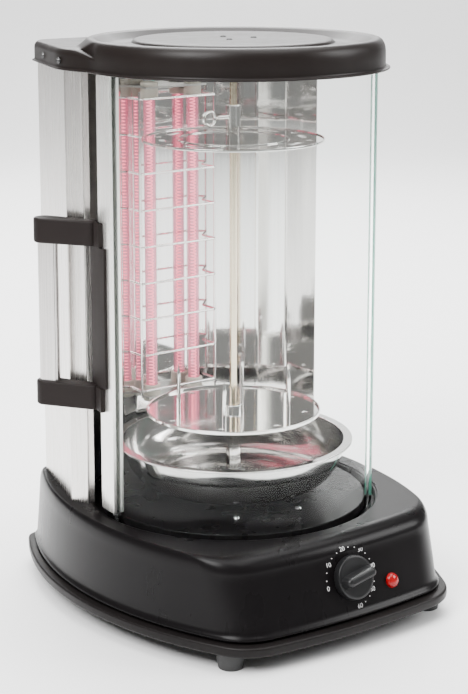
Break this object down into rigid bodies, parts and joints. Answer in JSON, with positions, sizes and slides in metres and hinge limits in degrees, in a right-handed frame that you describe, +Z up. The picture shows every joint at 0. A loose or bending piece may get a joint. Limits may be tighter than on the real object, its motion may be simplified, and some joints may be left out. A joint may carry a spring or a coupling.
{
  "type": "rotisserie oven",
  "caption": "Vertical rotisserie oven with a turning spit over a drip tray, upright heating tubes, a curved glass door that slides round the chamber, and a timer on its black base.",
  "frame": {"origin": "on the floor under the spit's axis, at the middle of the object's footprint", "axes": "+Z up along the spit; -Y is the front, with the timer; +X is the user's right"},
  "size_m": [0.3, 0.336, 0.462],
  "materials": {
    "black_enamel": "gloss black",
    "lid_black": "satin black",
    "band_black": "satin black",
    "housing_steel": "brushed stainless",
    "mirror_steel": "polished",
    "pan_steel": "polished stainless",
    "plate_chrome": "bright chrome",
    "frame_aluminium": "bright anodised",
    "glass": "clear, green edge",
    "handle_black": "fine matte",
    "knob_black": "gloss",
    "foot_rubber": "matte",
    "screw_steel": "zinc plated",
    "motor_steel": "zinc plated",
    "bracket_steel": "plain",
    "bearing_brass": "turned",
    "ceramic_white": "unglazed",
    "quartz": "satin quartz, emissive when on",
    "coil_wire": "emissive",
    "lamp_red": "clear red",
    "switch_plastic": "moulded"
  },
  "bodies": {
    "base": {"base_shell": "black_enamel", "bottom_plate": "band_black", "platform_plate": "black_enamel", "feet": "foot_rubber", "foot_screws": "screw_steel", "base_screws": "screw_steel", "platform_screws": "screw_steel", "cable_bushing": "handle_black", "side_panel_left": "housing_steel", "side_panel_right": "housing_steel", "rear_cover": "housing_steel", "rear_cover_screws": "screw_steel", "heat_shield": "bracket_steel", "reflector": "mirror_steel", "heating_tubes": "quartz", "heating_coils": "coil_wire", "heater_caps": "ceramic_white", "heater_bracket_top": "bracket_steel", "heater_bracket_bottom": "bracket_steel", "heater_guard": "mirror_steel", "lid": "lid_black", "ceiling_plate": "bracket_steel", "top_bearing": "bearing_brass", "lid_screws": "screw_steel", "lid_side_screws": "screw_steel", "motor_bracket": "bracket_steel", "drive_motor": "motor_steel", "motor_screws": "screw_steel", "timer_body": "switch_plastic", "timer_nut": "screw_steel", "lamp_lens": "lamp_red", "lamp_body": "switch_plastic", "thermal_cutout": "ceramic_white", "terminal_block": "ceramic_white"},
    "door": {"door_glass": "glass", "door_frame": "frame_aluminium", "door_guides": "screw_steel", "handle_bracket_upper": "handle_black", "handle_bracket_lower": "handle_black", "handle_back_plate": "handle_black", "handle_bar": "mirror_steel", "handle_screws": "screw_steel"},
    "drive": {"drive_shaft": "screw_steel", "drive_coupling": "bracket_steel"},
    "tray": {"drip_tray": "pan_steel"},
    "spit": {"spit_rod": "plate_chrome", "lower_plate": "plate_chrome", "plate_prongs": "plate_chrome"},
    "press": {"top_plate": "plate_chrome", "top_hub": "plate_chrome"},
    "thumb": {"thumb_screw": "plate_chrome"},
    "knob": {"timer_knob": "knob_black", "timer_shaft": "screw_steel"}
  },
  "joints": [
    {"name": "door_slide_round", "type": "hinge", "parent": "base", "child": "door", "pos_m": [0, 0, 0.084], "axis": [0, 0, 1], "range_deg": [0, 185]},
    {"name": "spit_turn", "type": "hinge", "parent": "base", "child": "drive", "pos_m": [0, 0, 0.084], "axis": [0, 0, 1], "continuous": true},
    {"name": "tray_lift", "type": "slide", "parent": "drive", "child": "tray", "axis": [0, 0, 1], "range_m": [0, 0.012]},
    {"name": "spit_lift", "type": "slide", "parent": "drive", "child": "spit", "axis": [0, 0, 1], "range_m": [0, 0.012]},
    {"name": "plate_slide", "type": "slide", "parent": "spit", "child": "press", "axis": [0, 0, 1], "range_m": [-0.15, 0.007]},
    {"name": "thumb_screw_turn", "type": "hinge", "parent": "press", "child": "thumb", "pos_m": [-0.01, 0, 0.398], "axis": [1, 0, 0], "range_deg": [0, 360]},
    {"name": "timer_turn", "type": "hinge", "parent": "base", "child": "knob", "pos_m": [0.004, -0.14987, 0.053], "axis": [-0.0059, 0.9534, -0.3017], "range_deg": [0, 270]}
  ]
}
